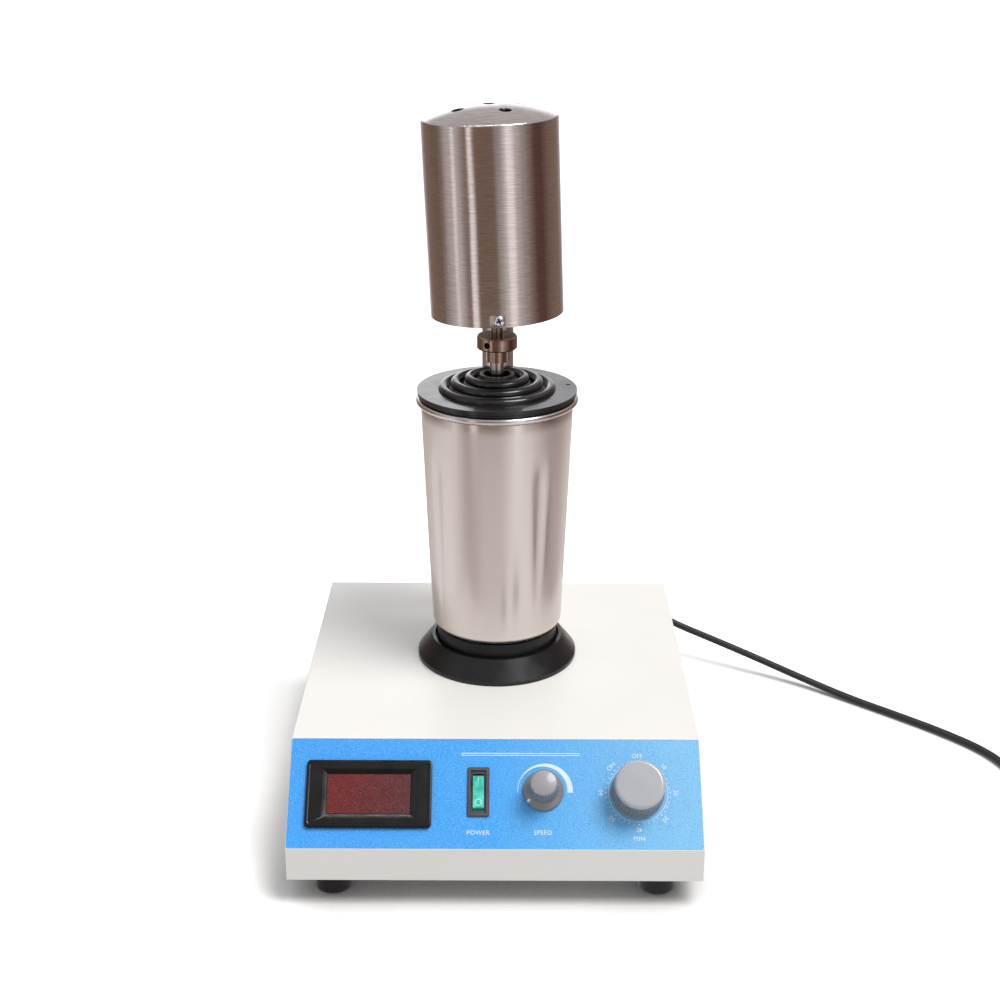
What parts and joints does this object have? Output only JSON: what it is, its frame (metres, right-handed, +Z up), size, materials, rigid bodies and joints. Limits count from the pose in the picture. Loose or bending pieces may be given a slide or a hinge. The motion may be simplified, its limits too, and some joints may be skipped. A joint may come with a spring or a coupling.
{
  "type": "tissue homogenizer",
  "caption": "Bench tissue homogenizer: sloped control box with meter, switch and dials, steel cup on a seat, and a covered motor on a column driving a knife.",
  "frame": {"origin": "on the table, under the middle of the control box's footprint", "axes": "+X to the operator's right, +Y to the back, +Z up; the operator stands at -Y"},
  "size_m": [0.6153, 0.3638, 0.47],
  "materials": {
    "white_paint": "satin, light texture",
    "blue_label": "printed film, fine speckle",
    "black_plastic": "moulded, glossy",
    "dark_grey_plastic": "moulded, fine grain",
    "red_window": "dark red filter",
    "green_lens": "translucent green",
    "grey_plastic": "moulded, satin",
    "black_rubber": "satin",
    "stainless": "brushed",
    "polished_steel": "turned and polished",
    "zinc_screw": "zinc plated",
    "plain_steel": "turned",
    "cast_alloy": "cast, bead blasted",
    "bare_alloy": "milled",
    "lamination": "stacked sheet",
    "copper": "enamelled wire",
    "brass": "turned",
    "carbon": "pressed carbon",
    "board_green": "board",
    "cord_black": "extruded"
  },
  "bodies": {
    "base": {"base_housing": "white_paint", "bottom_plate": "plain_steel", "plate_screws": "zinc_screw", "rubber_feet": "black_rubber", "foot_bolts": "zinc_screw", "control_panel": "blue_label", "meter_case": "black_plastic", "meter_window": "red_window", "switch_frame": "dark_grey_plastic", "speed_control": "dark_grey_plastic", "timer_body": "dark_grey_plastic", "control_nuts": "zinc_screw", "control_board": "board_green", "board_standoffs": "brass", "heat_sink": "bare_alloy", "cup_seat": "black_plastic", "seat_screws": "zinc_screw", "seat_pad": "black_rubber", "column": "polished_steel", "column_foot_collar": "polished_steel", "column_backing_plate": "plain_steel", "column_nut": "plain_steel", "clamp_collar": "cast_alloy", "cord_gland": "cord_black", "power_cord": "cord_black", "cord_coil": "cord_black", "mains_plug": "cord_black", "plug_pins": "brass"},
    "head": {"lift_rod": "polished_steel", "motor_bracket": "cast_alloy", "bracket_screw": "plain_steel", "motor_cover": "stainless", "cover_screws": "zinc_screw", "motor_bearings": "polished_steel", "motor_stator": "lamination", "field_windings": "copper", "stator_spacers": "brass", "tie_bolts": "zinc_screw", "top_bracket": "cast_alloy", "brush_holders": "brass", "carbon_brushes": "carbon"},
    "spindle": {"motor_shaft": "polished_steel", "armature_core": "lamination", "armature_windings": "copper", "commutator": "brass", "cooling_fan": "dark_grey_plastic", "shaft_coupling": "polished_steel", "coupling_grub_screws": "plain_steel", "blade_shaft": "polished_steel", "upper_blade": "stainless", "lower_blade": "stainless", "blade_nut": "polished_steel"},
    "cup": {"cup": "stainless"},
    "lid": {"cup_lid": "black_rubber"},
    "clamp_knob": {"clamp_knob": "black_plastic"},
    "power_rocker": {"power_rocker": "green_lens"},
    "speed_knob": {"speed_knob": "grey_plastic", "speed_spindle": "plain_steel"},
    "timer_knob": {"timer_knob": "grey_plastic", "timer_spindle": "plain_steel"}
  },
  "joints": [
    {"name": "head_lift", "type": "slide", "parent": "base", "child": "head", "axis": [0, 0, 1], "range_m": [0, 0.165]},
    {"name": "spindle_turn", "type": "hinge", "parent": "head", "child": "spindle", "pos_m": [0, 0.03, 0.33], "axis": [0, 0, 1], "continuous": true},
    {"name": "lid_lift", "type": "slide", "parent": "head", "child": "lid", "axis": [0, 0, 1], "range_m": [0, 0.007]},
    {"name": "cup_lift", "type": "slide", "parent": "base", "child": "cup", "axis": [0, 0, 1], "range_m": [0, 0.04]},
    {"name": "clamp_turn", "type": "hinge", "parent": "base", "child": "clamp_knob", "pos_m": [0, 0.102, 0.3278], "axis": [0, 1, 0], "range_deg": [0, 270]},
    {"name": "rocker_tilt", "type": "hinge", "parent": "base", "child": "power_rocker", "pos_m": [-0.0105, -0.11809, 0.06279], "axis": [1, 0, 0], "range_deg": [-16, 0]},
    {"name": "speed_turn", "type": "hinge", "parent": "base", "child": "speed_knob", "pos_m": [0.0303, -0.12019, 0.0663], "axis": [0, -0.6893, 0.7245], "range_deg": [-270, 0]},
    {"name": "timer_turn", "type": "hinge", "parent": "base", "child": "timer_knob", "pos_m": [0.0895, -0.1207, 0.06582], "axis": [0, -0.6893, 0.7245], "range_deg": [-270, 45]}
  ],
  "couplings": [
    {"joint": "cup_lift", "follows": "head_lift", "ratio": 0.2}
  ]
}
